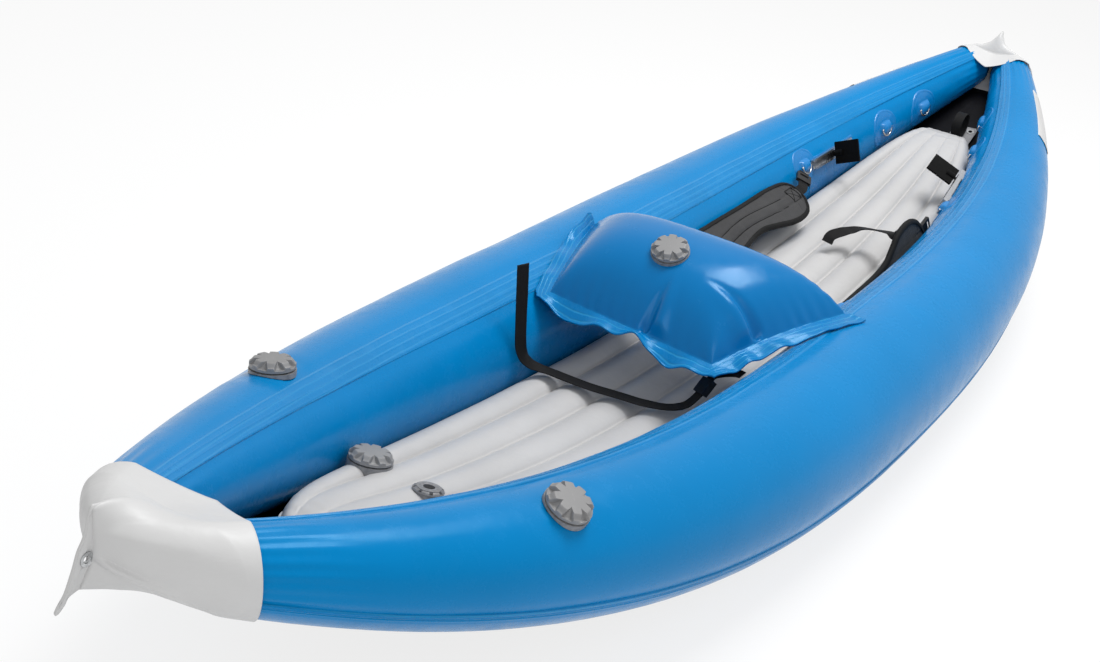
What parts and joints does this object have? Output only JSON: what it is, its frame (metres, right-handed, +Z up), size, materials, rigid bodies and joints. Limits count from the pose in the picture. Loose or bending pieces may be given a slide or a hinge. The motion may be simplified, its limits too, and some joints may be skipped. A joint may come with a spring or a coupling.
{
  "type": "inflatable kayak",
  "caption": "One-person inflatable kayak with blue side tubes, grey air floor, backrest cushion, thigh straps, adjustable pedals and capped valves.",
  "frame": {"origin": "bottom centre of the bounding box, on the ground the kayak rests on", "axes": "+X towards the bow, +Y to port, +Z up"},
  "size_m": [3.194, 0.906, 0.482],
  "materials": {
    "blue_pvc": "satin",
    "light_blue_pvc": "satin",
    "white_pvc": "matte",
    "grey_pvc": "satin",
    "black_pvc": "matte",
    "webbing": "matte",
    "pad_fabric": "matte",
    "grey_plastic": "matte",
    "black_plastic": "satin",
    "seal_rubber": "matte",
    "steel": "brushed",
    "aluminium": "brushed"
  },
  "bodies": {
    "hull": {"port_tube": "blue_pvc", "starboard_tube": "blue_pvc", "bottom_panel": "black_pvc", "port_chafe_strip": "blue_pvc", "starboard_chafe_strip": "blue_pvc", "seam_tapes": "light_blue_pvc", "stern_cap": "white_pvc", "bow_cap": "white_pvc", "cap_eyelets": "steel", "tab_eyelets": "steel", "bow_side_patches": "white_pvc", "port_valve_body": "grey_plastic", "starboard_valve_body": "grey_plastic", "port_valve_spring": "steel", "starboard_valve_spring": "steel", "floor_skin": "grey_pvc", "floor_webs": "grey_pvc", "floor_valve_body": "grey_plastic", "floor_valve_spring": "steel", "relief_valve_body": "grey_plastic", "relief_valve_spring": "steel", "floor_bow_tab": "grey_pvc", "bow_loop": "webbing", "wall_patches": "blue_pvc", "port_foot_rail": "aluminium", "starboard_foot_rail": "aluminium", "cross_strap": "webbing", "cross_strap_buckle": "black_plastic"},
    "backrest": {"backrest_cushion": "blue_pvc", "backrest_valve_body": "grey_plastic", "backrest_valve_spring": "steel"},
    "port_seal": {"port_valve_seal": "seal_rubber"},
    "port_cap": {"port_valve_cap": "grey_plastic"},
    "port_stem": {"port_valve_stem": "black_plastic"},
    "starboard_seal": {"starboard_valve_seal": "seal_rubber"},
    "starboard_cap": {"starboard_valve_cap": "grey_plastic"},
    "starboard_stem": {"starboard_valve_stem": "black_plastic"},
    "floor_seal": {"floor_valve_seal": "seal_rubber"},
    "floor_cap": {"floor_valve_cap": "grey_plastic"},
    "floor_stem": {"floor_valve_stem": "black_plastic"},
    "backrest_seal": {"backrest_valve_seal": "seal_rubber"},
    "backrest_cap": {"backrest_valve_cap": "grey_plastic"},
    "backrest_stem": {"backrest_valve_stem": "black_plastic"},
    "relief_stem": {"relief_valve_stem": "black_plastic"},
    "port_foot_ring": {"port_foot_ring": "steel"},
    "starboard_foot_ring": {"starboard_foot_ring": "steel"},
    "port_middle_ring": {"port_middle_ring": "steel"},
    "starboard_middle_ring": {"starboard_middle_ring": "steel"},
    "port_bow_ring": {"port_bow_ring": "steel"},
    "starboard_bow_ring": {"starboard_bow_ring": "steel"},
    "port_slider": {"port_pedal_slider": "black_plastic"},
    "port_pedal": {"port_pedal": "black_plastic"},
    "port_thigh_strap": {"port_thigh_pad": "pad_fabric", "port_thigh_webbing": "webbing", "port_thigh_buckle": "black_plastic"},
    "starboard_slider": {"starboard_pedal_slider": "black_plastic"},
    "starboard_pedal": {"starboard_pedal": "black_plastic"},
    "starboard_thigh_strap": {"starboard_thigh_pad": "pad_fabric", "starboard_thigh_webbing": "webbing", "starboard_thigh_buckle": "black_plastic"}
  },
  "joints": [
    {"name": "port_cap_lift", "type": "slide", "parent": "hull", "child": "port_seal", "axis": [0.1204, 0.1034, 0.9873], "range_m": [0, 0.04]},
    {"name": "port_cap_turn", "type": "hinge", "parent": "port_seal", "child": "port_cap", "pos_m": [-0.992, 0.24043, 0.33699], "axis": [0.1204, 0.1034, 0.9873], "range_deg": [0, 90]},
    {"name": "port_stem_push", "type": "slide", "parent": "hull", "child": "port_stem", "axis": [-0.1204, -0.1034, -0.9873], "range_m": [0, 0.006], "stiffness_N_per_m": 300, "springref_m": -0.003, "deforming": ["port_valve_spring"]},
    {"name": "starboard_cap_lift", "type": "slide", "parent": "hull", "child": "starboard_seal", "axis": [0.0306, -0.4054, 0.9136], "range_m": [0, 0.04]},
    {"name": "starboard_cap_turn", "type": "hinge", "parent": "starboard_seal", "child": "starboard_cap", "pos_m": [-0.992, -0.27134, 0.32874], "axis": [0.0306, -0.4054, 0.9136], "range_deg": [0, 90]},
    {"name": "starboard_stem_push", "type": "slide", "parent": "hull", "child": "starboard_stem", "axis": [-0.0306, 0.4054, -0.9136], "range_m": [0, 0.006], "stiffness_N_per_m": 300, "springref_m": -0.003, "deforming": ["starboard_valve_spring"]},
    {"name": "floor_cap_lift", "type": "slide", "parent": "hull", "child": "floor_seal", "axis": [0.2301, 0, 0.9732], "range_m": [0, 0.04]},
    {"name": "floor_cap_turn", "type": "hinge", "parent": "floor_seal", "child": "floor_cap", "pos_m": [-0.932, 0.09822, 0.21364], "axis": [0.2301, 0, 0.9732], "range_deg": [0, 90]},
    {"name": "floor_stem_push", "type": "slide", "parent": "hull", "child": "floor_stem", "axis": [-0.2301, 0, -0.9732], "range_m": [0, 0.006], "stiffness_N_per_m": 300, "springref_m": -0.003, "deforming": ["floor_valve_spring"]},
    {"name": "backrest_cap_lift", "type": "slide", "parent": "backrest", "child": "backrest_seal", "axis": [-0.3524, -0.0205, 0.9356], "range_m": [0, 0.04]},
    {"name": "backrest_cap_turn", "type": "hinge", "parent": "backrest_seal", "child": "backrest_cap", "pos_m": [-0.2086, 0.01498, 0.36403], "axis": [-0.3524, -0.0205, 0.9356], "range_deg": [0, 90]},
    {"name": "backrest_stem_push", "type": "slide", "parent": "backrest", "child": "backrest_stem", "axis": [0.3524, 0.0205, -0.9356], "range_m": [0, 0.006], "stiffness_N_per_m": 300, "springref_m": -0.003, "deforming": ["backrest_valve_spring"]},
    {"name": "relief_lift", "type": "slide", "parent": "hull", "child": "relief_stem", "axis": [0.2316, 0, 0.9728], "range_m": [0, 0.004], "stiffness_N_per_m": 250, "springref_m": -0.003, "deforming": ["relief_valve_spring"]},
    {"name": "port_foot_ring_swing", "type": "hinge", "parent": "hull", "child": "port_foot_ring", "pos_m": [0.766, 0.16787, 0.24555], "axis": [-0.9889, 0.0869, -0.1204], "range_deg": [0, 150]},
    {"name": "starboard_foot_ring_swing", "type": "hinge", "parent": "hull", "child": "starboard_foot_ring", "pos_m": [0.766, -0.16787, 0.24555], "axis": [0.9889, 0.0869, 0.1204], "range_deg": [0, 150]},
    {"name": "port_middle_ring_swing", "type": "hinge", "parent": "hull", "child": "port_middle_ring", "pos_m": [1.11, 0.10967, 0.27941], "axis": [-0.9565, 0.1898, -0.2217], "range_deg": [0, 150]},
    {"name": "starboard_middle_ring_swing", "type": "hinge", "parent": "hull", "child": "starboard_middle_ring", "pos_m": [1.11, -0.10967, 0.27941], "axis": [0.9565, 0.1898, 0.2217], "range_deg": [0, 150]},
    {"name": "port_bow_ring_swing", "type": "hinge", "parent": "hull", "child": "port_bow_ring", "pos_m": [1.262, 0.07302, 0.30926], "axis": [-0.9319, 0.242, -0.2702], "range_deg": [0, 150]},
    {"name": "starboard_bow_ring_swing", "type": "hinge", "parent": "hull", "child": "starboard_bow_ring", "pos_m": [1.262, -0.07302, 0.30926], "axis": [0.9319, 0.242, 0.2702], "range_deg": [0, 150]},
    {"name": "port_slider_slide", "type": "slide", "parent": "hull", "child": "port_slider", "axis": [0.9819, -0.1169, 0.149], "range_m": [-0.061, 0.061]},
    {"name": "port_pedal_tilt", "type": "hinge", "parent": "port_slider", "child": "port_pedal", "pos_m": [0.87381, 0.15331, 0.25489], "axis": [0.1695, 0.8933, -0.4163], "range_deg": [0, 60]},
    {"name": "port_thigh_swing", "type": "hinge", "parent": "hull", "child": "port_thigh_strap", "pos_m": [0.732, 0.158, 0.24], "axis": [-0.9975, 0.037, -0.0595], "range_deg": [0, 75]},
    {"name": "starboard_slider_slide", "type": "slide", "parent": "hull", "child": "starboard_slider", "axis": [0.9819, 0.1169, 0.149], "range_m": [-0.111, 0.011]},
    {"name": "starboard_pedal_tilt", "type": "hinge", "parent": "starboard_slider", "child": "starboard_pedal", "pos_m": [0.92291, -0.14747, 0.26234], "axis": [-0.1695, 0.8933, 0.4163], "range_deg": [-55, 0]},
    {"name": "starboard_thigh_swing", "type": "hinge", "parent": "hull", "child": "starboard_thigh_strap", "pos_m": [0.741, -0.15, 0.203], "axis": [0.9988, 0.0492, 0], "range_deg": [0, 36]},
    {"name": "backrest_tilt", "type": "hinge", "parent": "hull", "child": "backrest", "pos_m": [-0.03, 0, 0.284], "axis": [0, 1, 0], "range_deg": [0, 70]}
  ]
}
